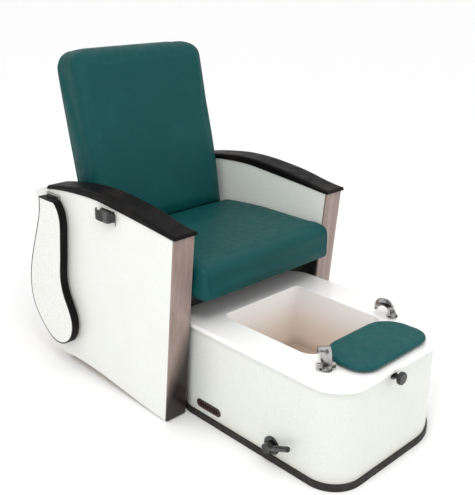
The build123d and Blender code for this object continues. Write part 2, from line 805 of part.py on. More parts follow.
def bath_outline(grow):
    """Plan of the foot bath's shell, grown by an amount on every side."""
    with BuildSketch() as outline:
        with Locations((0, bath_mid)):
            Rectangle(2 * (bath_half + grow), bath_len + 2 * grow)
        front = outline.vertices().sort_by(Axis.Y)[:2].sort_by(Axis.X)
        fillet([front[0], *outline.vertices().sort_by(Axis.Y)[-2:]], bath_corner_r + grow)
        fillet(outline.vertices().sort_by(Axis.Y)[:2].sort_by(Axis.X)[-1], bath_far_r + grow)
    return outline.sketch


def basin_outline(grow):
    """Plan of the basin, grown by an amount on every side: large front corners, small rear ones."""
    with BuildSketch() as outline:
        with Locations((0, basin_mid)):
            Rectangle(2 * (basin_half + grow), basin_len + 2 * grow)
        fillet(outline.vertices().sort_by(Axis.Y)[:2], basin_front_r + grow)
        fillet(outline.vertices().sort_by(Axis.Y)[-2:], basin_rear_r + grow)
    return outline.sketch


def spout_frame(side):
    """Foot of a spout on the rim: depth frame origin and the level heading of its nose."""
    at = spout_right_at if side == "right" else spout_left_at
    turn = radians(spout_angle)
    heading = (cos(turn), sin(turn)) if side == "right" else (-cos(turn), sin(turn))
    return at, heading


def spout_foot(side):
    """Plan position of the middle of a spout's foot."""
    (x, y), (run_x, run_y) = spout_frame(side)
    return (x + run_x * tap_back, y + run_y * tap_back)


feet = [spout_foot(side) for side, _ in SIDES]
post_places = [(sign * post_x, post_y) for _, sign in SIDES]
jet_y = (pump_y[0] + 30, pump_y[1] - 30)
jet_r = 13.0
jet_fit = 0.3
jet_bore_r = 7.0
strainer_r = 24.0
floor_low = basin_floor - basin_wall

basin_taper = degrees(atan2(basin_draft, bath_top - basin_floor))
with BuildPart() as basin_space:
    with BuildSketch(level_plane(bath_top)):
        add(basin_outline(0))
    extrude(amount=-(bath_top - basin_floor), taper=basin_taper)
    fillet(basin_space.faces().sort_by(Axis.Z)[0].edges(), 5)

with BuildPart() as tub_liner:
    with BuildSketch(level_plane(shell_top)):
        add(bath_outline(rim_over))
    extrude(amount=rim_t)
    fillet(tub_liner.faces().sort_by(Axis.Z)[-1].edges(), rim_round)
    with BuildSketch(level_plane(shell_top)):
        add(basin_outline(basin_wall))
    extrude(amount=-(shell_top - floor_low), taper=basin_taper)
    add(basin_space.part, mode=Mode.SUBTRACT)
    fillet(tub_liner.faces().sort_by(Axis.Z)[-1].inner_wires()[0].edges(), 4)
    with BuildSketch(level_plane(bath_top)):
        with Locations(*post_places):
            Circle(sleeve_r)
        with Locations(*feet):
            Circle(pipe_r)
    extrude(amount=-rim_t, mode=Mode.SUBTRACT)
    with BuildSketch(level_plane(floor_low)):
        with Locations(drain_at):
            Circle(strainer_r)
    extrude(amount=basin_wall, mode=Mode.SUBTRACT)
    with BuildSketch(side_plane(-basin_half - basin_wall)):
        with Locations(*[(y, pump_z) for y in jet_y]):
            Circle(jet_r)
    extrude(amount=basin_half, mode=Mode.SUBTRACT)
tub_liner.part.label = "tub_liner"
export_step(tub_liner.part, "parts/tub_liner.step")

vent_size = (vent_y[1] - vent_y[0], vent_z[1] - vent_z[0])
vent_mid = (sum(vent_y) / 2, sum(vent_z) / 2)
vent_lip = 4.0
housing_r = 9.0
spindle_r = 6.0
with BuildPart() as tub_shell:
    with BuildSketch(level_plane(0)):
        add(bath_outline(0))
        add(bath_outline(-shell_wall), mode=Mode.SUBTRACT)
    extrude(amount=shell_top)
    with BuildSketch(side_plane(-bath_half)):
        with Locations(vent_mid):
            SlotOverall(vent_size[0] - 2 * vent_lip, vent_size[1] - 2 * vent_lip)
        with Locations((drain_y, drain_z)):
            Circle(spindle_r + 2)
    extrude(amount=shell_wall, mode=Mode.SUBTRACT)
    with BuildSketch(front_plane(bath_front)):
        with Locations((-post_x, knob_z)):
            Circle(housing_r)
    extrude(amount=-shell_wall, mode=Mode.SUBTRACT)
    with BuildSketch(front_plane(bath_rear)):
        with Locations((drain_x, drain_z)):
            Circle(drain_pipe_r)
        with Locations(*[(x, inlet_z) for x in inlet_x]):
            Circle(inlet_r)
    extrude(amount=bath_corner_r / 2, mode=Mode.SUBTRACT)
tub_shell.part.label = "tub_shell"
export_step(tub_shell.part, "parts/tub_shell.step")

with BuildPart() as bumper_ring:
    with BuildSketch(level_plane(0)):
        add(bath_outline(ring_t))
        add(bath_outline(0), mode=Mode.SUBTRACT)
    extrude(amount=ring_h)
    fillet(bumper_ring.faces().sort_by(Axis.Z)[-1].outer_wire().edges(), 2)
bumper_ring.part.label = "bumper_ring"
export_step(bumper_ring.part, "parts/bumper_ring.step")

with BuildPart() as base_plate:
    with BuildSketch(level_plane(0)):
        add(bath_outline(-shell_wall))
    extrude(amount=base_t)
base_plate.part.label = "base_plate"
export_step(base_plate.part, "parts/base_plate.step")

vent_bar_w = 3.0
vent_pitch = (vent_size[0] - 2 * vent_lip) / (vent_bars + 1)
with BuildPart() as vent_grille:
    with BuildSketch(side_plane(-bath_half - 2)):
        with Locations(vent_mid):
            SlotOverall(*vent_size)
            SlotOverall(vent_size[0] - 4 * vent_lip, vent_size[1] - 3 * vent_lip, mode=Mode.SUBTRACT)
    extrude(amount=2)
    with BuildSketch(side_plane(-bath_half)):
        with Locations(vent_mid):
            SlotOverall(vent_size[0] - 2 * vent_lip, vent_size[1] - 2 * vent_lip)
            SlotOverall(vent_size[0] - 4 * vent_lip, vent_size[1] - 3 * vent_lip, mode=Mode.SUBTRACT)
    extrude(amount=shell_wall)
    with BuildSketch(side_plane(-bath_half - 1)):
        with Locations(vent_mid):
            with GridLocations(vent_pitch, 0, vent_bars, 1):
                Rectangle(vent_bar_w, vent_size[1] - 3 * vent_lip)
    extrude(amount=shell_wall + 1)
vent_grille.part.label = "vent_grille"
export_step(vent_grille.part, "parts/vent_grille.step")

# ------------------------------------------------------------------ drain
with BuildPart() as drain_strainer:
    with BuildSketch(level_plane(basin_floor)):
        with Locations(drain_at):
            Circle(strainer_r + 5)
    extrude(amount=2)
    with BuildSketch(level_plane(floor_low - 12)):
        with Locations(drain_at):
            Circle(strainer_r)
    extrude(amount=basin_wall + 12)
    with BuildSketch(level_plane(floor_low - 12)):
        with Locations(drain_at):
            Circle(strainer_r - 4)
    extrude(amount=basin_wall + 12, mode=Mode.SUBTRACT)
    with BuildSketch(level_plane(basin_floor)):
        with Locations(drain_at):
            with PolarLocations(strainer_r * 0.55, 8):
                Circle(3)
            Circle(3)
    extrude(amount=2, mode=Mode.SUBTRACT)
drain_strainer.part.label = "drain_strainer"
export_step(drain_strainer.part, "parts/drain_strainer.step")

valve_half = 40.0
valve_r = 26.0
bend_r = 25.0
loop_y = drain_y - valve_half - 50
tail_out = 40.0
spigot_step = 1.0          # a hose spigot stands proud of its pipe


def pipe(points, bend, outer, wall):
    """Bent pipe through points given as X, depth behind the panel foot and height."""
    places = [(x, foot_y + y, z) for x, y, z in points]
    with BuildPart() as run:
        with BuildLine() as route:
            FilletPolyline(*places, radius=bend)
        with BuildSketch(Plane(origin=route.line @ 0, z_dir=route.line % 0)):
            Circle(outer)
            Circle(outer - wall, mode=Mode.SUBTRACT)
        sweep(path=route.line)
    return run.part


with BuildPart() as drain_loop:
    add(pipe(((drain_at[0], drain_at[1], floor_low - 12), (drain_at[0], drain_at[1], drain_z),
              (drain_at[0], loop_y, drain_z), (drain_x, loop_y, drain_z),
              (drain_x, drain_y - valve_half, drain_z)), bend_r, drain_pipe_r, drain_pipe_wall))
drain_loop.part.label = "drain_loop"
export_step(drain_loop.part, "parts/drain_loop.step")

with BuildPart() as waste_outlet:
    with BuildSketch(front_plane(drain_y + valve_half)):
        with Locations((drain_x, drain_z)):
            Circle(drain_pipe_r - spigot_step)
    extrude(amount=-(bath_rear - drain_y - valve_half))
    with BuildSketch(front_plane(bath_rear)):
        with Locations((drain_x, drain_z)):
            Circle(drain_pipe_r)
    extrude(amount=-tail_out)
    with BuildSketch(front_plane(drain_y + valve_half)):
        with Locations((drain_x, drain_z)):
            Circle(drain_pipe_r - drain_pipe_wall)
    extrude(amount=-(bath_rear + tail_out - drain_y - valve_half), mode=Mode.SUBTRACT)
waste_outlet.part.label = "waste_outlet"
export_step(waste_outlet.part, "parts/waste_outlet.step")

boss_out = 46.0
spindle_in = 26.0
lever_x = -bath_half - 17
with BuildPart() as drain_valve:
    with BuildSketch(front_plane(drain_y - valve_half)):
        with Locations((drain_x, drain_z)):
            Circle(valve_r)
            Circle(drain_pipe_r - drain_pipe_wall, mode=Mode.SUBTRACT)
    extrude(amount=-2 * valve_half)
    with BuildSketch(side_plane(drain_x - valve_r - boss_out / 2)):
        with Locations((drain_y, drain_z)):
            Circle(12)
    extrude(amount=boss_out / 2 + 4)
    with BuildSketch(side_plane(drain_x - valve_r - boss_out / 2)):
        with Locations((drain_y, drain_z)):
            Circle(spindle_r + pin_fit)
    extrude(amount=spindle_in, mode=Mode.SUBTRACT)
drain_valve.part.label = "drain_valve"
export_step(drain_valve.part, "parts/drain_valve.step")

with BuildPart() as drain_escutcheon:
    with BuildSketch(side_plane(-bath_half - 5)):
        with Locations((drain_y, drain_z)):
            Circle(drain_disc_r)
            Circle(spindle_r + pin_fit, mode=Mode.SUBTRACT)
    extrude(amount=5)
    fillet(drain_escutcheon.faces().sort_by(Axis.X)[0].outer_wire().edges(), 2)
drain_escutcheon.part.label = "drain_escutcheon"
export_step(drain_escutcheon.part, "parts/drain_escutcheon.step")

lever_turn = radians(lever_tilt)
lever_heading = (-0.12, -cos(lever_turn), sin(lever_turn))
with BuildPart() as drain_lever:
    with BuildSketch(side_plane(lever_x - 9)):
        with Locations((drain_y, drain_z)):
            Circle(15)
    extrude(amount=18)
    with BuildSketch(side_plane(lever_x)):
        with Locations((drain_y, drain_z)):
            Circle(spindle_r)
    extrude(amount=drain_x - valve_r - boss_out / 2 + spindle_in - 2 - lever_x)
    with BuildSketch(Plane(origin=(lever_x, foot_y + drain_y, drain_z), z_dir=lever_heading)):
        Circle(lever_tube_r)
    extrude(amount=lever_len)
    fillet(drain_lever.faces().sort_by(Axis.Y)[0].edges(), 4)
drain_lever.part.label = "drain_lever"
export_step(drain_lever.part, "parts/drain_lever.step")

# ------------------------------------------------------------------ pump and supply
with BuildPart() as jet_pump:
    with BuildSketch(front_plane(pump_y[0])):
        with Locations((pump_x, pump_z)):
            Circle(pump_r)
    extrude(amount=-(pump_y[1] - pump_y[0]))
    with BuildSketch(side_plane(pump_x)):
        with Locations(*[(y, pump_z) for y in jet_y]):
            Circle(jet_r + 3)
    extrude(amount=pump_r + 8)
    with BuildSketch(front_plane(pump_y[0] + 20)):
        with Locations((pump_x - 14, (pump_z + base_t) / 2)):
            Rectangle(30, pump_z - base_t)
    extrude(amount=-(pump_y[1] - pump_y[0] - 40))
jet_pump.part.label = "jet_pump"
export_step(jet_pump.part, "parts/jet_pump.step")

jet_wall_x = basin_half - basin_draft * (bath_top - pump_z) / (bath_top - basin_floor)
jet_seat_x = pump_x + pump_r + 8
jet_flange_t = 5.0


def jet_nozzle(y):
    """One jet: a flange flat on the basin's sloping wall, a level tail through it and a bore."""
    wall_point = (-jet_wall_x + jet_fit, foot_y + y, pump_z)
    wall_normal = (bath_top - basin_floor, 0, basin_draft)
    with BuildPart() as nozzle:
        with BuildSketch(Plane(origin=wall_point, x_dir=(0, 1, 0), z_dir=wall_normal)):
            Circle(jet_r + 8)
        extrude(amount=jet_flange_t)
        with BuildSketch(side_plane(jet_seat_x)):
            with Locations((y, pump_z)):
                Circle(jet_r - jet_fit)
        extrude(amount=-jet_wall_x + jet_flange_t / 2 - jet_seat_x)
        with BuildSketch(side_plane(jet_seat_x)):
            with Locations((y, pump_z)):
                Circle(jet_bore_r)
        extrude(amount=2 * jet_r + jet_flange_t, mode=Mode.SUBTRACT)
    return nozzle.part


with BuildPart() as jet_nozzles:
    for y in jet_y:
        add(jet_nozzle(y))
jet_nozzles.part.label = "jet_nozzles"
export_step(jet_nozzles.part, "parts/jet_nozzles.step")

with BuildPart() as inlet_tails:
    with BuildSketch(front_plane(bath_rear - inlet_in)):
        with Locations(*[(x, inlet_z) for x in inlet_x]):
            Circle(inlet_r - spigot_step)
    extrude(amount=-inlet_in)
    with BuildSketch(front_plane(bath_rear)):
        with Locations(*[(x, inlet_z) for x in inlet_x]):
            Circle(inlet_r)
    extrude(amount=-tail_out)
    with BuildSketch(front_plane(bath_rear - inlet_in)):
        with Locations(*[(x, inlet_z) for x in inlet_x]):
            Circle(pipe_r - pipe_wall)
    extrude(amount=-(inlet_in + tail_out), mode=Mode.SUBTRACT)
inlet_tails.part.label = "inlet_tails"
export_step(inlet_tails.part, "parts/inlet_tails.step")

pipe_start = bath_rear - inlet_in
riser_y = pipe_start - 40
with BuildPart() as supply_pipes:
    for x, (foot_x, foot_back) in zip(inlet_x, feet):
        add(pipe(((x, pipe_start, inlet_z), (x, riser_y, inlet_z), (x, riser_y, pipe_run_z),
                  (x, foot_back, pipe_run_z), (foot_x, foot_back, pipe_run_z),
                  (foot_x, foot_back, bath_top - 4)), pipe_bend, pipe_r, pipe_wall))
supply_pipes.part.label = "supply_pipes"
export_step(supply_pipes.part, "parts/supply_pipes.step")

# ------------------------------------------------------------------ spouts
def spout_plane(side):
    """Upright sketch plane through a spout: ahead towards its nose, then up from the rim."""
    (x, y), (run_x, run_y) = spout_frame(side)
    return Plane(origin=(x, foot_y + y, bath_top), x_dir=(run_x, run_y, 0), z_dir=(run_y, -run_x, 0))


def spout_back_plane(side, ahead):
    """Upright sketch plane square to a spout: across it, then up from the rim. It faces its nose."""
    (x, y), (run_x, run_y) = spout_frame(side)
    origin = (x + run_x * ahead, foot_y + y + run_y * ahead, bath_top)
    return Plane(origin=origin, x_dir=(-run_y, run_x, 0), z_dir=(run_x, run_y, 0))


foot_depth = 24.0
rosette_t = 3.0


def spout_body(side):
    """One spout: a bent tongue that widens upwards, on a round foot bored for its pipe."""
    with BuildPart() as spout:
        with BuildSketch(spout_plane(side)):
            with BuildLine():
                spine = Spline((0, 0), (2, spout_h * 0.32), (14, spout_h * 0.72), (34, spout_h * 0.96),
                               (50, spout_h * 0.98), (spout_len - 5, spout_h * 0.8), (spout_len, spout_h * 0.52))
                belly = Spline((spout_len - 7, spout_h * 0.48), (spout_len - 13, spout_h * 0.68),
                               (44, spout_h * 0.78), (32, spout_h * 0.66), (foot_depth + 1, spout_h * 0.36),
                               (foot_depth, 0))
                Line(spine @ 1, belly @ 0)
                Line(belly @ 1, spine @ 0)
            make_face()
        extrude(amount=spout_w / 2, both=True)
        with BuildSketch(spout_back_plane(side, -5)):
            with BuildLine():
                Polyline((-spout_foot_w / 2, 0), (spout_foot_w / 2, 0), (spout_w / 2, spout_h),
                         (-spout_w / 2, spout_h), close=True)
            make_face()
        extrude(amount=spout_len + 10, mode=Mode.INTERSECT)
        with BuildSketch(level_plane(bath_top)):
            with Locations(spout_foot(side)):
                Circle(foot_depth * 0.7)
        extrude(amount=rosette_t)
        with BuildSketch(level_plane(bath_top)):
            with Locations(spout_foot(side)):
                Circle(pipe_r - pipe_wall)
        extrude(amount=rosette_t, mode=Mode.SUBTRACT)
        with BuildSketch(spout_plane(side)):
            with Locations((tap_back, tap_height)):
                Circle(tap_r + pin_fit)
        extrude(amount=spout_w, both=True, mode=Mode.SUBTRACT)
    return spout.part


with BuildPart() as spouts:
    for side, _ in SIDES:
        add(spout_body(side))
spouts.part.label = "spouts"
export_step(spouts.part, "parts/spouts.step")

tap_inner = spout_foot_w / 2 + (spout_w - spout_foot_w) / 2 * (tap_height + tap_knob_r) / spout_h + 0.5
for side, _ in SIDES:
    with BuildPart() as tap_spindle:
        with BuildSketch(spout_plane(side)):
            with Locations((tap_back, tap_height)):
                Circle(tap_r)
        extrude(amount=tap_inner + 2, both=True)
        for turned in (1, -1):
            with BuildSketch(spout_plane(side).offset(turned * tap_inner)):
                with Locations((tap_back, tap_height)):
                    Circle(tap_knob_r)
            extrude(amount=turned * tap_knob_l)
        fillet(tap_spindle.edges().filter_by(GeomType.CIRCLE).filter_by(lambda e: e.radius > tap_r + 1), 1.5)
    tap_spindle.part.label = f"tap_spindle_{side}"
    export_step(tap_spindle.part, f"parts/tap_spindle_{side}.step")

# ------------------------------------------------------------------ footrest
pad_low = pad_top - pad_t
sleeve_lip = 2.0
frame_t = 3.0
pad_mid = sum(pad_y) / 2


def pad_outline(grow):
    """Plan of the footrest pad, grown by an amount on every side."""
    with BuildSketch() as outline:
        with Locations((0, pad_mid)):
            Rectangle(2 * (pad_half + grow), pad_y[1] - pad_y[0] + 2 * grow)
        fillet(outline.vertices().sort_by(Axis.Y)[:2], pad_front_r + grow)
        fillet(outline.vertices().sort_by(Axis.Y)[-2:], pad_rear_r + grow)
    return outline.sketch


with BuildPart() as foot_pad:
    with BuildSketch(level_plane(pad_low)):
        add(pad_outline(0))
    extrude(amount=pad_t)
    fillet(foot_pad.faces().sort_by(Axis.Z)[-1].edges(), pad_t / 2)
foot_pad.part.label = "foot_pad"
export_step(foot_pad.part, "parts/foot_pad.step")

with BuildPart() as footrest_frame:
    with BuildSketch(level_plane(pad_low - frame_t)):
        add(pad_outline(-24))
    extrude(amount=frame_t)
    with BuildSketch(level_plane(pad_low - frame_t)):
        with Locations(*post_places):
            Circle(post_r)
    extrude(amount=-post_len)
footrest_frame.part.label = "footrest_frame"
export_step(footrest_frame.part, "parts/footrest_frame.step")

with BuildPart() as footrest_sleeves:
    with BuildSketch(level_plane(bath_top - sleeve_len)):
        with Locations(*post_places):
            Circle(sleeve_r)
    extrude(amount=sleeve_len)
    with BuildSketch(level_plane(bath_top)):
        with Locations(*post_places):
            Circle(sleeve_r + 4)
    extrude(amount=sleeve_lip)
    with BuildSketch(level_plane(bath_top - sleeve_len)):
        with Locations(*post_places):
            Circle(post_r + post_fit)
    extrude(amount=sleeve_len + sleeve_lip, mode=Mode.SUBTRACT)
    with BuildSketch(front_plane(post_y - sleeve_r)):
        with Locations((-post_x, knob_z)):
            Circle(plunger_r + 0.5)
    extrude(amount=-(sleeve_r - post_r + 2), mode=Mode.SUBTRACT)
footrest_sleeves.part.label = "footrest_sleeves"
export_step(footrest_sleeves.part, "parts/footrest_sleeves.step")

flange_t = 4.0
knob_head_t = 13.0
with BuildPart() as lock_housing:
    with BuildSketch(front_plane(bath_front - flange_t)):
        with Locations((-post_x, knob_z)):
            Circle(housing_r + 3)
    extrude(amount=-flange_t)
    with BuildSketch(front_plane(bath_front)):
        with Locations((-post_x, knob_z)):
            Circle(housing_r)
    extrude(amount=-(shell_wall + 20))
    with BuildSketch(front_plane(bath_front - flange_t)):
        with Locations((-post_x, knob_z)):
            Circle(plunger_r + pin_fit)
    extrude(amount=-(shell_wall + 30), mode=Mode.SUBTRACT)
lock_housing.part.label = "lock_housing"
export_step(lock_housing.part, "parts/lock_housing.step")

with BuildPart() as lock_knob:
    with BuildSketch(front_plane(knob_front)):
        with Locations((-post_x, knob_z)):
            Circle(knob_r)
    extrude(amount=-knob_head_t)
    fillet(lock_knob.edges(), 4)
    with BuildSketch(front_plane(knob_front + knob_head_t)):
        with Locations((-post_x, knob_z)):
            Circle(plunger_r + 3)
    extrude(amount=-(bath_front - flange_t - 1 - knob_front - knob_head_t))
    with BuildSketch(front_plane(knob_front + knob_head_t)):
        with Locations((-post_x, knob_z)):
            Circle(plunger_r)
    extrude(amount=-(post_y - post_r - plunger_gap - knob_front - knob_head_t))
lock_knob.part.label = "lock_knob"
export_step(lock_knob.part, "parts/lock_knob.step")
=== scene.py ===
import json
from math import cos, pi, radians, sin, sqrt

import bmesh
import bpy
from mathutils import Matrix, Vector
from mathutils.bvhtree import BVHTree


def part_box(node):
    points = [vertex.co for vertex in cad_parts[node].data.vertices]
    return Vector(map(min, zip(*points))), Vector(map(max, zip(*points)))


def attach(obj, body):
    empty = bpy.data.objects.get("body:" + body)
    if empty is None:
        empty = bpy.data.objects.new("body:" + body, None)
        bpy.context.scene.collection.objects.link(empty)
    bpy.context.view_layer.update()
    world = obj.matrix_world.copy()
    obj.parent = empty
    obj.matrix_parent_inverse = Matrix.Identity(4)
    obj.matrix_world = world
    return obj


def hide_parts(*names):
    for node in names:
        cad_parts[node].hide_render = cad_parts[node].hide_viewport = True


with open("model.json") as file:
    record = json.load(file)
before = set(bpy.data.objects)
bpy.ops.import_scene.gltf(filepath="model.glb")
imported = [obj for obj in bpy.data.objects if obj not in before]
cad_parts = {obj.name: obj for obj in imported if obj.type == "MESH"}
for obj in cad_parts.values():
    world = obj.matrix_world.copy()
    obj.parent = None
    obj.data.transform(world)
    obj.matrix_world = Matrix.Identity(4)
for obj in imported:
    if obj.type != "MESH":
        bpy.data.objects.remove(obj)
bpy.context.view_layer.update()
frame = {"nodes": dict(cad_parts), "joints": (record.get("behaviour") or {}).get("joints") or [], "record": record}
record = frame["record"]
joints = {j["name"]: j for j in frame["joints"]}
scene = bpy.context.scene

# Pedicure spa chair: looks. Metres, +Z up, the sitter faces -Y, +X is the sitter's left.

# ------------------------------------------------------------------ colours, 0 to 255
TEAL_SEAT = (1, 74, 74)
TEAL_BACK = (3, 76, 76)
TEAL_PAD = (10, 82, 82)
PANEL_WHITE = (238, 239, 234)
TUB_WHITE = (228, 230, 224)
RIM_WHITE = (250, 249, 247)
# Warm off-white of the basin, partly its own colour and partly painted shade.
BASIN_WARM_AND_SHADE = (232, 216, 203)
TAUPE = (146, 127, 120)
# Dark brown of the painted reflection on the trim strip's foot.
TRIM_PAINTED_REFLECTION = (26, 14, 8)
ARM_BLACK = (14, 12, 12)
EDGE_BLACK = (14, 13, 12)
RING_GREY = (38, 36, 33)
SLOT_BROWN = (52, 35, 22)
# Black of the black parts, also used for painted shade under the seat.
PART_AND_SHADE_BLACK = (11, 11, 11)
STEEL_BLACK = (30, 31, 32)


def linear(rgb):
    """An sRGB colour of 0 to 255 as the linear RGBA that shaders take."""
    return tuple(((c / 255 + 0.055) / 1.055) ** 2.4 if c > 10 else c / 255 / 12.92 for c in rgb) + (1.0,)


def mixed(rgb, other, share):
    return tuple(a + (b - a) * share for a, b in zip(rgb, other))


# ------------------------------------------------------------------ materials
class Shader:
    """A Principled material whose colour, roughness and bump come from procedural textures."""

    def __init__(self, name, rgb, rough, metallic=0.0, coat=0.0, specular=0.5):
        self.material = bpy.data.materials.new(name)
        self.material.use_nodes = True
        self.nodes = self.material.node_tree.nodes
        self.links = self.material.node_tree.links
        self.base = self.nodes["Principled BSDF"]
        self.base.inputs["Base Color"].default_value = linear(rgb)
        self.base.inputs["Roughness"].default_value = rough
        self.base.inputs["Metallic"].default_value = metallic
        self.base.inputs["Specular IOR Level"].default_value = specular
        self.base.inputs["Coat Weight"].default_value = coat
        self.base.inputs["Coat Roughness"].default_value = 0.12
        self.place = self.nodes.new("ShaderNodeTexCoord").outputs["Object"]
        self.normal = None

    def stretch(self, scale):
        mapping = self.nodes.new("ShaderNodeMapping")
        mapping.inputs["Scale"].default_value = scale
        self.links.new(self.place, mapping.inputs["Vector"])
        return mapping.outputs["Vector"]

    def noise(self, scale, detail=3.0, stretch=None, distortion=0.0):
        node = self.nodes.new("ShaderNodeTexNoise")
        node.inputs["Scale"].default_value = scale
        node.inputs["Detail"].default_value = detail
        node.inputs["Distortion"].default_value = distortion
        self.links.new(self.stretch(stretch) if stretch else self.place, node.inputs["Vector"])
        return node.outputs["Fac"]

    def cells(self, scale, stretch=None):
        node = self.nodes.new("ShaderNodeTexVoronoi")
        node.inputs["Scale"].default_value = scale
        self.links.new(self.stretch(stretch) if stretch else self.place, node.inputs["Vector"])
        return node.outputs["Distance"]

    def waves(self, scale, axis="Z", distortion=2.0):
        node = self.nodes.new("ShaderNodeTexWave")
        node.bands_direction = axis
        node.inputs["Scale"].default_value = scale
        node.inputs["Distortion"].default_value = distortion
        node.inputs["Detail"].default_value = 3.0
        self.links.new(self.place, node.inputs["Vector"])
        return node.outputs["Fac"]

    def span(self, value, low, high, to_low=0.0, to_high=1.0):
        node = self.nodes.new("ShaderNodeMapRange")
        node.interpolation_type = "SMOOTHSTEP"
        node.inputs["From Min"].default_value = low
        node.inputs["From Max"].default_value = high
        node.inputs["To Min"].default_value = to_low
        node.inputs["To Max"].default_value = to_high
        self.links.new(value, node.inputs["Value"])
        return node.outputs["Result"]

    def axis(self, name):
        node = self.nodes.new("ShaderNodeSeparateXYZ")
        self.links.new(self.place, node.inputs["Vector"])
        return node.outputs[name]

    def maths(self, operation, a, b):
        node = self.nodes.new("ShaderNodeMath")
        node.operation = operation
        for socket, value in zip(node.inputs, (a, b)):
            if isinstance(value, (int, float)):
                socket.default_value = value
            else:
                self.links.new(value, socket)
        return node.outputs["Value"]

    def tint(self, rgb, share):
        """Mixes another colour over what is there, by a textured share."""
        node = self.nodes.new("ShaderNodeMix")
        node.data_type = "RGBA"
        slot = self.base.inputs["Base Color"]
        if slot.is_linked:
            self.links.new(slot.links[0].from_socket, node.inputs[6])
        else:
            node.inputs[6].default_value = slot.default_value
        node.inputs[7].default_value = linear(rgb)
        self.links.new(share, node.inputs[0])
        self.links.new(node.outputs[2], slot)

    def roughen(self, value, low, high):
        self.links.new(self.span(value, 0.3, 0.7, low, high), self.base.inputs["Roughness"])

    def bump(self, height, depth, strength=1.0):
        """Adds relief of a depth in metres."""
        node = self.nodes.new("ShaderNodeBump")
        node.inputs["Distance"].default_value = depth
        node.inputs["Strength"].default_value = strength
        self.links.new(height, node.inputs["Height"])
        if self.normal:
            self.links.new(self.normal, node.inputs["Normal"])
        self.normal = node.outputs["Normal"]
        self.links.new(self.normal, self.base.inputs["Normal"])


def vinyl(name, rgb):
    """Soft upholstery vinyl: pebbled grain and faint clouding."""
    s = Shader(name, rgb, 0.5, specular=0.2)
    s.tint(mixed(rgb, (60, 120, 118), 0.16), s.span(s.noise(5.0, 2.0), 0.42, 0.68))
    s.tint(mixed(rgb, (0, 0, 0), 0.2), s.span(s.cells(900), 0.42, 0.75))
    s.roughen(s.noise(40), 0.44, 0.58)
    s.bump(s.cells(900), 0.00035, 0.55)
    s.bump(s.noise(2600, 2.0), 0.0001, 0.5)
    s.bump(s.noise(22, 3.0), 0.0012, 0.35)
    return s.material


def laminate(name, rgb, rough=0.36, shade_below=None):
    """White laminate with the faint mottle of its print; inside, painted shade turns the lower part black below
    the seat.
    """
    s = Shader(name, rgb, rough, coat=0.15)
    s.tint(mixed(rgb, (205, 208, 200), 0.6), s.span(s.noise(330, 4.0), 0.5, 0.72))
    s.tint(mixed(rgb, (226, 226, 216), 0.3), s.span(s.noise(9.0, 3.0), 0.45, 0.7))
    if shade_below:
        # Painted shade: the inner face is black below the seat.
        s.tint(PART_AND_SHADE_BLACK, s.span(s.axis("Z"), shade_below + 0.001, shade_below))
    s.roughen(s.noise(120), rough - 0.06, rough + 0.1)
    s.bump(s.noise(900, 3.0), 0.00008, 0.6)
    return s.material


TRIM_SLANT = 2.2           # the painted reflection at the strip's foot climbs towards its inner edge
TRIM_REFLECTION_FROM = 1.0
TRIM_REFLECTION_FULL = 0.80


def bronze_trim(name):
    """Brushed bronze laminate strip: taupe above, with a painted dark reflection of the floor towards its foot."""
    s = Shader(name, TAUPE, 0.36, metallic=0.12, coat=0.12)
    s.tint(mixed(TAUPE, (196, 176, 166), 0.5), s.span(s.noise(60, 4.0, (1, 1, 0.06)), 0.4, 0.8))
    s.tint(mixed(TAUPE, (120, 100, 92), 0.6), s.span(s.noise(420, 3.0, (1, 1, 0.03)), 0.52, 0.8))
    # Painted reflection: the strip's foot turns dark brown as if mirroring the dark floor, higher towards its
    # inner edge.
    outward = s.maths("ABSOLUTE", s.axis("X"), 0.0)
    rise = s.maths("ADD", s.axis("Z"), s.maths("MULTIPLY", outward, TRIM_SLANT))
    s.tint(TRIM_PAINTED_REFLECTION, s.span(rise, TRIM_REFLECTION_FROM, TRIM_REFLECTION_FULL))
    return s.material


def urethane(name, rgb):
    """Self-skinned black urethane: satin, finely pebbled, a little brown where hands rub it."""
    s = Shader(name, rgb, 0.5, specular=0.1)
    s.tint(mixed(rgb, (84, 66, 60), 0.3), s.span(s.noise(7.0, 3.0), 0.5, 0.75))
    s.roughen(s.noise(30), 0.4, 0.56)
    s.bump(s.cells(1300), 0.00018, 0.5)
    s.bump(s.noise(35, 3.0), 0.0008, 0.2)
    return s.material


def moulded(name, rgb, rough=0.42, grain=1500, coat=0.0):
    """Moulded plastic: slight cloud in colour and gloss, with a fine spark-eroded grain."""
    s = Shader(name, rgb, rough, coat=coat)
    s.tint(mixed(rgb, (128, 128, 124), 0.14), s.span(s.noise(28, 4.0), 0.45, 0.75))
    s.roughen(s.noise(60), rough - 0.07, rough + 0.08)
    s.bump(s.noise(grain, 2.0), 0.00008, 0.5)
    return s.material


def gelcoat(name, rgb):
    """Moulded shell of the foot bath: white gelcoat with a fine grey speckle."""
    s = Shader(name, rgb, 0.34, coat=0.18)
    s.tint(mixed(rgb, (206, 209, 200), 0.75), s.span(s.noise(420, 4.0), 0.52, 0.7))
    s.tint(mixed(rgb, (186, 188, 178), 0.5), s.span(s.cells(520), 0.1, 0.0))
    s.tint(mixed(rgb, (214, 214, 204), 0.8), s.span(s.axis("Z"), 0.06, 0.015))
    s.roughen(s.noise(90), 0.28, 0.44)
    s.bump(s.noise(700, 3.0), 0.0001, 0.5)
    s.bump(s.noise(6, 2.0), 0.0015, 0.15)
    return s.material


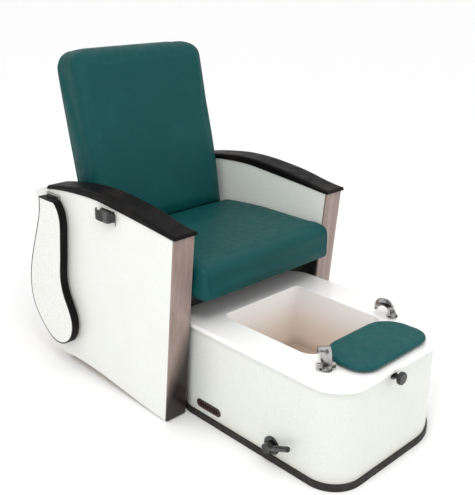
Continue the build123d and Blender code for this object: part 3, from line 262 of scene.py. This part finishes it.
def acrylic(name, rim_z, floor_z):
    """Glossy cast acrylic: a bright rim, and below it a basin tinted warm, partly its own off-white and partly
    painted shade, with painted shade darkening it towards its floor.
    """
    s = Shader(name, RIM_WHITE, 0.16, coat=0.35)
    # Painted shade: the basin walls warm and darken downward, partly the acrylic's own off-white; a deeper painted
    # shade darkens the floor.
    s.tint(BASIN_WARM_AND_SHADE, s.span(s.axis("Z"), rim_z - 0.006, floor_z + 0.04))
    s.tint(mixed(BASIN_WARM_AND_SHADE, (150, 128, 110), 0.5), s.span(s.axis("Z"), floor_z + 0.05, floor_z))
    s.roughen(s.noise(18), 0.1, 0.22)
    s.bump(s.noise(5, 2.0), 0.0012, 0.12)
    return s.material


def chrome(name):
    """Plated metal with faint smears and a ripple of polishing."""
    s = Shader(name, (176, 174, 172), 0.07, metallic=1.0)
    s.tint((64, 62, 61), s.span(s.noise(34, 3.0), 0.46, 0.62))
    s.roughen(s.noise(110, 4.0), 0.04, 0.16)
    s.bump(s.noise(60, 2.0), 0.0003, 0.12)
    return s.material


def brushed(name, rgb):
    """Steel with a fine lengthwise brushing."""
    s = Shader(name, rgb, 0.32, metallic=0.95)
    s.tint(mixed(rgb, (96, 96, 94), 0.5), s.span(s.noise(260, 4.0, (1, 0.05, 1)), 0.45, 0.7))
    s.roughen(s.noise(300, 3.0, (1, 0.05, 1)), 0.24, 0.42)
    s.bump(s.noise(900, 2.0, (1, 0.05, 1)), 0.00006, 0.6)
    return s.material


def powder(name, rgb):
    """Powder-coated steel: orange-peel relief and small scuffs."""
    s = Shader(name, rgb, 0.45, metallic=0.15)
    s.tint(mixed(rgb, (110, 110, 108), 0.5), s.span(s.noise(160, 5.0), 0.68, 0.8))
    s.roughen(s.noise(50), 0.38, 0.56)
    s.bump(s.noise(650, 2.0), 0.00016, 0.6)
    return s.material


def rubber(name, rgb):
    """Extruded rubber: dusty and matt."""
    s = Shader(name, rgb, 0.66, specular=0.35)
    s.tint(mixed(rgb, (120, 116, 108), 0.4), s.span(s.noise(60, 5.0), 0.55, 0.85))
    s.roughen(s.noise(45), 0.55, 0.78)
    s.bump(s.noise(800, 3.0), 0.00015, 0.6)
    return s.material


def timber(name, rgb):
    """Birch plywood: long grain, and plies that show on the edges."""
    s = Shader(name, rgb, 0.6)
    s.tint(mixed(rgb, (120, 84, 48), 0.5), s.span(s.noise(24, 6.0, (1, 0.12, 1), 1.2), 0.45, 0.75))
    s.tint(mixed(rgb, (92, 62, 36), 0.5), s.span(s.waves(90, "Z", 0.6), 0.7, 0.95))
    s.roughen(s.noise(80), 0.5, 0.7)
    s.bump(s.noise(400, 4.0, (1, 0.1, 1)), 0.00012, 0.6)
    return s.material


def pale_floor(name):
    s = Shader(name, (253, 253, 253), 0.7, specular=0.2)
    s.roughen(s.noise(3), 0.55, 0.65)
    return s.material


basin_lo, basin_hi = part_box("tub_liner")
deck_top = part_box("seat_cushion")[0].z
looks = {
    "laminate_white": laminate("laminate_white", PANEL_WHITE),
    "laminate_inner": laminate("laminate_inner", PANEL_WHITE, shade_below=deck_top),
    "under_seat_shade_black": moulded("under_seat_shade_black", PART_AND_SHADE_BLACK, 0.7),
    "core_board": timber("core_board", (190, 160, 118)),
    "armrest_urethane": urethane("armrest_urethane", ARM_BLACK),
    "tray_face": laminate("tray_face", PANEL_WHITE, 0.3),
    "trim_taupe": bronze_trim("trim_taupe"),
    "edge_black": urethane("edge_black", EDGE_BLACK),
    "steel_black": powder("steel_black", STEEL_BLACK),
    "steel_bright": brushed("steel_bright", (176, 176, 172)),
    "chrome": chrome("chrome"),
    "plywood": timber("plywood", (186, 148, 102)),
    "paddle_black": moulded("paddle_black", PART_AND_SHADE_BLACK, 0.3, coat=0.2),
    "cover_black": moulded("cover_black", (26, 26, 27), 0.5, 700),
    "acrylic_white": acrylic("acrylic_white", basin_hi.z, basin_lo.z),
    "tub_gelcoat": gelcoat("tub_gelcoat", TUB_WHITE),
    "ring_grey": rubber("ring_grey", RING_GREY),
    "vent_brown": moulded("vent_brown", SLOT_BROWN, 0.55),
    "pipe_white": moulded("pipe_white", (208, 208, 200), 0.4),
    "pump_grey": moulded("pump_grey", (92, 94, 96), 0.5),
    "bush_plastic": moulded("bush_plastic", (210, 206, 190), 0.4),
    "seat_vinyl": vinyl("seat_vinyl", TEAL_SEAT),
    "back_vinyl": vinyl("back_vinyl", TEAL_BACK),
    "pad_vinyl": vinyl("pad_vinyl", TEAL_PAD),
}
# Painted shade: under the seat, the apron, the seat deck and the inner skins' lower part are black.
OWN_LOOK = {
    "inner_skin_right": "laminate_inner", "inner_skin_left": "laminate_inner", "apron": "under_seat_shade_black",
    "seat_deck": "under_seat_shade_black", "back_cover": "cover_black",
}


def paint(piece, look):
    piece.data.materials.clear()
    piece.data.materials.append(looks[look])


for part in record["subparts"]:
    paint(frame["nodes"][part["node"]], OWN_LOOK.get(part["node"], part["material_slot"]))


# ------------------------------------------------------------------ mesh helpers
def new_piece(name, mesh):
    piece = bpy.data.objects.new(name, mesh)
    scene.collection.objects.link(piece)
    return piece


def mesh_from(name, build):
    """A mesh filled by a function that takes a bmesh."""
    bm = bmesh.new()
    build(bm)
    bmesh.ops.recalc_face_normals(bm, faces=bm.faces)
    mesh = bpy.data.meshes.new(name)
    bm.to_mesh(mesh)
    bm.free()
    for face in mesh.polygons:
        face.use_smooth = True
    return mesh


def skin_loops(bm, loops):
    """Quads between closed loops of points, with both ends closed."""
    rings = [[bm.verts.new(p) for p in loop] for loop in loops]
    for near, far in zip(rings, rings[1:]):
        count = len(near)
        for i in range(count):
            bm.faces.new((near[i], near[(i + 1) % count], far[(i + 1) % count], far[i]))
    bm.faces.new(rings[0][::-1])
    bm.faces.new(rings[-1])


def rounded_section(half, low, high, low_r, high_r, steps=6):
    """A closed section, from -half to half across and low to high, with its own radius at each end."""
    room = min(half, (high - low) / 2) * 0.98
    low_r, high_r = min(low_r, room), min(high_r, room)
    corners = ((half, low, low_r, -90), (half, high, high_r, 0),
               (-half, high, high_r, 90), (-half, low, low_r, 180))
    points = []
    for across, along, r, start in corners:
        centre = (across - r if across > 0 else across + r, along + r if along == low else along - r)
        for i in range(steps + 1):
            a = radians(start + 90 * i / steps)
            points.append((centre[0] + r * cos(a), centre[1] + r * sin(a)))
    return points


def evaluated(piece):
    """The piece's mesh with its modifiers applied."""
    depsgraph = bpy.context.evaluated_depsgraph_get()
    return bpy.data.meshes.new_from_object(piece.evaluated_get(depsgraph), depsgraph=depsgraph)


def remesh(piece, voxel):
    modifier = piece.modifiers.new("remesh", "REMESH")
    modifier.mode = "VOXEL"
    modifier.voxel_size = voxel
    modifier.use_smooth_shade = True
    bpy.context.view_layer.update()
    mesh = evaluated(piece)
    piece.modifiers.clear()
    piece.data = mesh


DIP = 0.0012               # a firm cushion's cover hardly sinks in


def inflate(piece, held, pressure, cap, frames=20):
    """Swells the cover by cloth simulation, up to a cap. Points for which held(p) is true stay put."""
    group = piece.vertex_groups.new(name="held")
    group.add([v.index for v in piece.data.vertices if held(v.co)], 1.0, "REPLACE")
    cloth = piece.modifiers.new("cover", "CLOTH")
    cloth.settings.vertex_group_mass = "held"
    cloth.settings.quality = 4
    cloth.settings.mass = 0.3
    cloth.settings.tension_stiffness = 25
    cloth.settings.compression_stiffness = 25
    cloth.settings.shear_stiffness = 12
    cloth.settings.bending_stiffness = 3
    cloth.settings.use_pressure = True
    cloth.settings.uniform_pressure_force = pressure
    cloth.settings.effector_weights.gravity = 0
    cloth.collision_settings.use_collision = False
    cloth.point_cache.frame_start = 1
    cloth.point_cache.frame_end = frames
    for step in range(1, frames + 1):
        scene.frame_set(step)
    filled = evaluated(piece)
    piece.modifiers.clear()
    outward = [v.normal.copy() for v in piece.data.vertices]
    for vertex, moved, normal in zip(piece.data.vertices, filled.vertices, outward):
        swell = (moved.co - vertex.co).dot(normal)
        vertex.co += normal * max(-DIP, min(cap, swell))
    bpy.data.meshes.remove(filled)
    piece.vertex_groups.clear()
    scene.frame_set(1)


def relax(piece, times):
    """Evens out the simulated surface."""
    bm = bmesh.new()
    bm.from_mesh(piece.data)
    for _ in range(times):
        bmesh.ops.smooth_vert(bm, verts=bm.verts, factor=0.5, use_axis_x=True, use_axis_y=True,
                              use_axis_z=True)
    bm.to_mesh(piece.data)
    bm.free()


def fit_to(piece, axes, lo, hi):
    """Scales the piece along the given axes so that its extents equal those of the space it fills."""
    for axis, low, high in zip(axes, lo, hi):
        reach = [v.co.dot(axis) for v in piece.data.vertices]
        start, stretch = min(reach), (high - low) / (max(reach) - min(reach))
        for vertex, at in zip(piece.data.vertices, reach):
            vertex.co += axis * (low + (at - start) * stretch - at)


def finish_cushion(piece, look):
    subdivide = piece.modifiers.new("subdivide", "SUBSURF")
    subdivide.levels = 1
    subdivide.render_levels = 1
    paint(piece, look)
    for face in piece.data.polygons:
        face.use_smooth = True


def tube_along(points, radius, closed=False, sides=8):
    """A round cord of mesh along points, such as piping."""
    def build(bm):
        count = len(points)
        loops = []
        for i, p in enumerate(points):
            ahead = points[(i + 1) % count] if closed or i < count - 1 else p
            behind = points[i - 1] if closed or i > 0 else p
            run = (ahead - behind).normalized()
            side = run.cross(Vector((0.13, 0.27, 0.95))).normalized()
            up = side.cross(run)
            loops.append([p + (side * cos(2 * pi * k / sides) + up * sin(2 * pi * k / sides)) * radius
                          for k in range(sides)])
        rings = [[bm.verts.new(q) for q in loop] for loop in loops]
        pairs = list(zip(rings, rings[1:])) + ([(rings[-1], rings[0])] if closed else [])
        for near, far in pairs:
            for k in range(sides):
                bm.faces.new((near[k], near[(k + 1) % sides], far[(k + 1) % sides], far[k]))
        if not closed:
            bm.faces.new(rings[0][::-1])
            bm.faces.new(rings[-1])
    return build


WORLD_AXES = (Vector((1, 0, 0)), Vector((0, 1, 0)), Vector((0, 0, 1)))

# ------------------------------------------------------------------ seat cushion
seat_lo, seat_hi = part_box("seat_cushion")
seat_half = seat_hi.x
SEAT_NOSE_R = 0.034
SEAT_EDGE_R = 0.016
SEAT_CORNER_R = 0.022
SEAT_REAR_DROP = 0.016
SEAT_FLAT = 0.306          # the top starts to fall this far behind the nose
SWELL = 0.004              # room left for the cover to swell into


def seat_section(y):
    """The seat's cross-section at y, a little inside the space that it fills."""
    ahead = y - seat_lo.y - SWELL
    top = seat_hi.z - SWELL
    if ahead < SEAT_NOSE_R:
        top += sqrt(SEAT_NOSE_R ** 2 - (SEAT_NOSE_R - ahead) ** 2) - SEAT_NOSE_R
    elif ahead > SEAT_FLAT:
        top -= SEAT_REAR_DROP * (ahead - SEAT_FLAT) / (seat_hi.y - seat_lo.y - SEAT_FLAT)
    half = seat_half - SWELL
    if ahead < SEAT_CORNER_R:
        half += sqrt(SEAT_CORNER_R ** 2 - (SEAT_CORNER_R - ahead) ** 2) - SEAT_CORNER_R
    return [Vector((x, y, z)) for x, z in rounded_section(half, seat_lo.z, top, 0.006, SEAT_EDGE_R)]


def build_seat(bm):
    stations = [seat_lo.y + SWELL + (1 - cos(pi / 2 * i / 8)) * SEAT_NOSE_R for i in range(9)]
    last = stations[-1]
    stations += [last + (seat_hi.y - 0.003 - last) * i / 20 for i in range(1, 21)]
    skin_loops(bm, [seat_section(y) for y in stations])


seat = new_piece("seat_upholstery", mesh_from("seat_upholstery", build_seat))
remesh(seat, 0.006)
inflate(seat, lambda p: p.z < seat_lo.z + 0.012 or p.y > seat_hi.y - 0.02, 4.0, 0.0045)
relax(seat, 3)
fit_to(seat, WORLD_AXES, seat_lo, seat_hi)
finish_cushion(seat, "seat_vinyl")
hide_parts("seat_cushion")
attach(seat, "frame")

# ------------------------------------------------------------------ back cushion
RECLINE = radians(12)
BACK_HALF = 0.268
BACK_FRONT = -0.080
BACK_REAR = 0.044
BACK_FOOT = 0.020
BACK_TOP = 0.604
BACK_CORNER_R = 0.062
BACK_EDGE_R = 0.030
BACK_REAR_R = 0.012
BACK_CROWN = 0.046         # the front rolls over this far below the top
BACK_SWELL = 0.005
pivot = Vector(joints["back_recline"]["pos_m"])
ACROSS_BACK = Vector((0, cos(RECLINE), -sin(RECLINE)))
UP_BACK = Vector((0, sin(RECLINE), cos(RECLINE)))


def in_back(x, across, along):
    """A point given across and up along the reclined back."""
    return Vector((x, pivot.y, pivot.z)) + ACROSS_BACK * across + UP_BACK * along


def back_section(along):
    """The back's cross-section at a height along it: a rounded slab, thinner over the crown."""
    share = (along - BACK_FOOT) / (BACK_TOP - BACK_FOOT)
    front = BACK_FRONT + BACK_SWELL - 0.006 * sin(pi * min(1, share * 1.6)) + 0.006 * (1 - share) ** 6
    rear = BACK_REAR - 0.001
    into_crown = max(0.0, along - (BACK_TOP - BACK_CROWN)) / BACK_CROWN
    front += 0.056 * (1 - sqrt(max(0.0, 1 - into_crown ** 2)))
    into_rear = max(0.0, along - (BACK_TOP - 0.014)) / 0.014
    rear -= 0.014 * (1 - sqrt(max(0.0, 1 - into_rear ** 2)))
    half = BACK_HALF - BACK_SWELL
    into_corner = max(0.0, along - (BACK_TOP - BACK_CORNER_R)) / BACK_CORNER_R
    half -= BACK_CORNER_R * (1 - sqrt(max(0.0, 1 - into_corner ** 2)))
    return [in_back(x, n, along) for x, n in rounded_section(half, front, rear, BACK_EDGE_R, BACK_REAR_R)]


def build_back(bm):
    rows = [BACK_FOOT + 0.002 + (BACK_TOP - BACK_CORNER_R - BACK_FOOT - 0.002) * i / 24 for i in range(25)]
    rows += [BACK_TOP - BACK_CORNER_R + BACK_CORNER_R * sin(pi / 2 * i / 12) for i in range(1, 13)]
    rows[-1] = BACK_TOP - 0.0015
    skin_loops(bm, [back_section(s) for s in rows])


def behind_back(p):
    """How far a point is across and along the back."""
    arm = p - pivot
    return arm.dot(ACROSS_BACK), arm.dot(UP_BACK)


back = new_piece("back_upholstery", mesh_from("back_upholstery", build_back))
remesh(back, 0.006)
inflate(back, lambda p: behind_back(p)[0] > BACK_REAR - 0.006 or behind_back(p)[1] < BACK_FOOT + 0.008,
        4.0, 0.005)
relax(back, 3)
foot = pivot.dot(UP_BACK)
depth = pivot.dot(ACROSS_BACK)
fit_to(back, (WORLD_AXES[0], ACROSS_BACK, UP_BACK), (-BACK_HALF, depth + BACK_FRONT, foot + BACK_FOOT),
       (BACK_HALF, depth + BACK_REAR, foot + BACK_TOP))
finish_cushion(back, "back_vinyl")
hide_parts("back_cushion")
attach(back, "back")


# ------------------------------------------------------------------ footrest pad
pad_lo, pad_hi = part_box("foot_pad")
PAD_REAR_R = 0.090
PAD_FRONT_R = 0.058
PAD_EDGE_R = 0.0065
PAD_SWELL = 0.0015


def pad_ring(inset, z):
    """The pad's outline, drawn in by an inset."""
    mid = (pad_lo + pad_hi) / 2
    half_x = pad_hi.x - inset
    half_y = (pad_hi.y - pad_lo.y) / 2 - inset
    room = min(half_x, half_y) * 0.995
    points = []
    for sx, sy, r, start in ((1, -1, PAD_FRONT_R, -90), (1, 1, PAD_REAR_R, 0), (-1, 1, PAD_REAR_R, 90),
                             (-1, -1, PAD_FRONT_R, 180)):
        r = min(max(0.002, r - inset), room)
        for i in range(13):
            a = radians(start + 90 * i / 12)
            points.append(Vector((mid.x + sx * (half_x - r) + r * cos(a),
                                  mid.y + sy * (half_y - r) + r * sin(a), z)))
    return points


def build_pad(bm):
    loops = [pad_ring(0.004, pad_lo.z)]
    top = pad_hi.z - PAD_SWELL
    for i in range(7):
        a = pi / 2 * i / 6
        loops.append(pad_ring(PAD_SWELL + PAD_EDGE_R * (1 - cos(a)), top - PAD_EDGE_R * (1 - sin(a))))
    skin_loops(bm, loops)


pad = new_piece("pad_upholstery", mesh_from("pad_upholstery", build_pad))
remesh(pad, 0.004)
inflate(pad, lambda p: p.z < pad_lo.z + 0.004, 3.0, 0.0015)
relax(pad, 2)
fit_to(pad, WORLD_AXES, pad_lo, pad_hi)
finish_cushion(pad, "pad_vinyl")
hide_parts("foot_pad")
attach(pad, "footrest")

# ------------------------------------------------------------------ seams, piping and small fittings
RAY_REACH = 0.6            # farther out than any cushion's surface


def surface(piece, rays):
    """Points where rays, each a start inside the piece and a way out, leave it."""
    mesh = piece.data
    tree = BVHTree.FromPolygons([v.co for v in mesh.vertices], [f.vertices for f in mesh.polygons])
    hits = [tree.ray_cast(start + way * RAY_REACH, -way)[0] for start, way in rays]
    return [hit for hit in hits if hit]


def add_detail(name, build, look, body):
    detail = new_piece(name, mesh_from(name, build))
    paint(detail, look)
    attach(detail, body)
    return detail


SEAM_IN = 0.024
SEAM_R = 0.0011
middle = Vector((0, seat_lo.y + 0.09, (seat_lo.z + seat_hi.z) / 2))
for side, x in (("left", seat_half - SEAM_IN), ("right", SEAM_IN - seat_half)):
    turns = [radians(-24 + 98 * i / 30) for i in range(31)]
    seam = surface(seat, [(middle + Vector((x, 0, 0)), Vector((0, -cos(a), sin(a)))) for a in turns])
    add_detail(f"seat_seam_{side}", tube_along(seam, SEAM_R), "seat_vinyl", "frame")

PIPING_R = 0.0022
PIPING_ACROSS = BACK_REAR - 0.008
run_in = BACK_HALF - BACK_CORNER_R
crown = BACK_TOP - BACK_CORNER_R
piping = [(-BACK_HALF, BACK_FOOT + 0.01 + (crown - BACK_FOOT - 0.01) * i / 8) for i in range(8)]
piping += [(-run_in - BACK_CORNER_R * cos(pi / 2 * i / 10), crown + BACK_CORNER_R * sin(pi / 2 * i / 10))
           for i in range(11)]
piping += [(-x, along) for x, along in piping[::-1]]
rays = []
for x, along in piping:
    inner = in_back(max(-run_in, min(run_in, x)), PIPING_ACROSS, min(along, crown))
    rays.append((inner, (in_back(x, PIPING_ACROSS, along) - inner).normalized()))
add_detail("back_piping", tube_along(surface(back, rays), PIPING_R), "back_vinyl", "back")

strainer_lo, strainer_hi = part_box("drain_strainer")
strainer_mid = (strainer_lo + strainer_hi) / 2
HOLES = 10
HOLE_RING_R = 0.014
HOLE_R = 0.0026
HOLE_LIFT = 0.0003         # above the strainer, so that the two don't share a plane


def build_holes(bm):
    for i in range(HOLES):
        a = 2 * pi * i / HOLES
        place = Matrix.Translation((strainer_mid.x + HOLE_RING_R * cos(a),
                                    strainer_mid.y + HOLE_RING_R * sin(a), strainer_hi.z + HOLE_LIFT))
        bmesh.ops.create_circle(bm, cap_ends=True, segments=14, radius=HOLE_R, matrix=place)


# Painted shade: black discs stand in for the strainer's holes.
add_detail("strainer_hole_shade", build_holes, "paddle_black", "frame")

# ------------------------------------------------------------------ floor, lights, camera
FLOOR_HALF = 60.0


def build_floor(bm):
    bmesh.ops.create_grid(bm, x_segments=8, y_segments=8, size=FLOOR_HALF)


floor = new_piece("floor", mesh_from("floor", build_floor))
floor.location.z = -0.0005
floor.data.materials.append(pale_floor("floor"))

world = bpy.data.worlds.new("studio")
world.use_nodes = True
sky = world.node_tree


def sky_level(source, low, high, to_low, to_high):
    node = sky.nodes.new("ShaderNodeMapRange")
    for socket, value in zip(("From Min", "From Max", "To Min", "To Max"), (low, high, to_low, to_high)):
        node.inputs[socket].default_value = value
    sky.links.new(source, node.inputs["Value"])
    return node.outputs["Result"]


ways = sky.nodes.new("ShaderNodeSeparateXYZ")
sky.links.new(sky.nodes.new("ShaderNodeTexCoord").outputs["Generated"], ways.inputs["Vector"])
ceiling = sky_level(ways.outputs["Z"], 0.0, 1.0, 0.52, 1.28)
backdrop = sky_level(ways.outputs["Z"], -0.03, 0.0, 1.0, 0.0)
brighter = sky.nodes.new("ShaderNodeMath")
brighter.operation = "MAXIMUM"
sky.links.new(ceiling, brighter.inputs[0])
sky.links.new(backdrop, brighter.inputs[1])
sky.links.new(brighter.outputs["Value"], sky.nodes["Background"].inputs["Strength"])
sky.nodes["Background"].inputs["Color"].default_value = (1.0, 1.0, 1.0, 1.0)
scene.world = world


def soft_light(name, place, aim, size, power, colour=(1.0, 1.0, 1.0)):
    lamp = bpy.data.lights.new(name, "AREA")
    lamp.shape = "DISK"
    lamp.size = size
    lamp.energy = power
    lamp.color = colour
    holder = bpy.data.objects.new(name, lamp)
    holder.location = place
    holder.rotation_euler = (Vector(aim) - Vector(place)).to_track_quat("-Z", "Y").to_euler()
    scene.collection.objects.link(holder)


soft_light("key", (-3.2, 0.1, 2.1), (0, 0, 0.4), 2.0, 9)
soft_light("front", (1.5, -3.3, 1.6), (0, -0.3, 0.4), 2.2, 10)
soft_light("fill", (-0.9, -0.9, 1.7), (0.3, 0.05, 0.5), 0.5, 8)

CAMERA_PLACE = (-1.56585, -1.58798, 1.30168)
CAMERA_AZIMUTH = radians(-44.16)
CAMERA_ELEVATION = radians(20.73)
CAMERA_ROLL = radians(0.4)
lens_camera = bpy.data.cameras.new("camera")
lens_camera.sensor_width = 36.0
lens_camera.lens = 55.61
camera = bpy.data.objects.new("camera", lens_camera)
right = Vector((cos(CAMERA_AZIMUTH), sin(CAMERA_AZIMUTH), 0))
back_of = Vector((sin(CAMERA_AZIMUTH) * cos(CAMERA_ELEVATION), -cos(CAMERA_AZIMUTH) * cos(CAMERA_ELEVATION),
                  sin(CAMERA_ELEVATION)))
up = back_of.cross(right)
rolled_right = right * cos(CAMERA_ROLL) + up * sin(CAMERA_ROLL)
rolled_up = back_of.cross(rolled_right)
turn = Matrix((rolled_right, rolled_up, back_of)).transposed()
camera.matrix_world = Matrix.Translation(CAMERA_PLACE) @ turn.to_4x4()
scene.collection.objects.link(camera)
scene.camera = camera
scene.view_settings.view_transform = "Standard"
